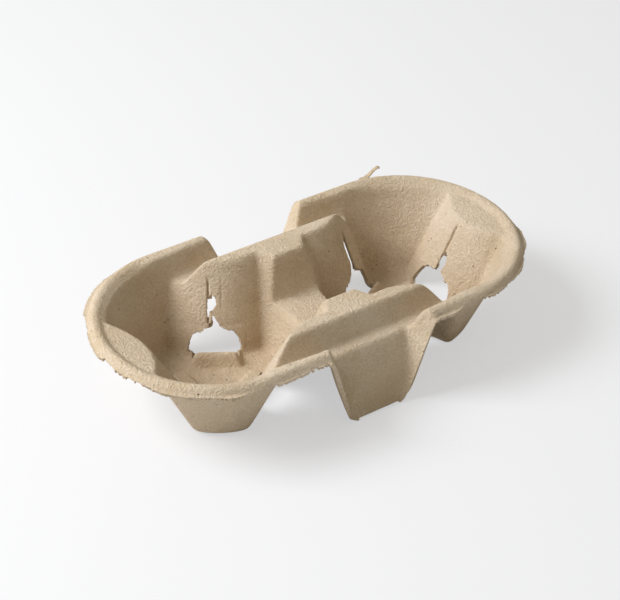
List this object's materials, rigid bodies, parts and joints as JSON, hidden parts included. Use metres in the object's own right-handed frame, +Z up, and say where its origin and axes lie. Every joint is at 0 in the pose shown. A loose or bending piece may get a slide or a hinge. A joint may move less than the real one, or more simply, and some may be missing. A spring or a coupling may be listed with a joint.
{
  "type": "cup carrier",
  "caption": "Moulded pulp carrier tray for drinking cups, with tapered pockets, slit flats, a passage between them, finger recesses and a trimmed rim.",
  "frame": {"origin": "on the table under the middle of the tray, the bottom centre of its box", "axes": "+X along the tray from one cup to the other, +Y across it, +Z up"},
  "size_m": [0.22, 0.11, 0.043],
  "materials": {
    "pulp": "matte unbleached moulded fibre"
  },
  "bodies": {
    "root": {"cup_carrier": "pulp"}
  },
  "joints": []
}
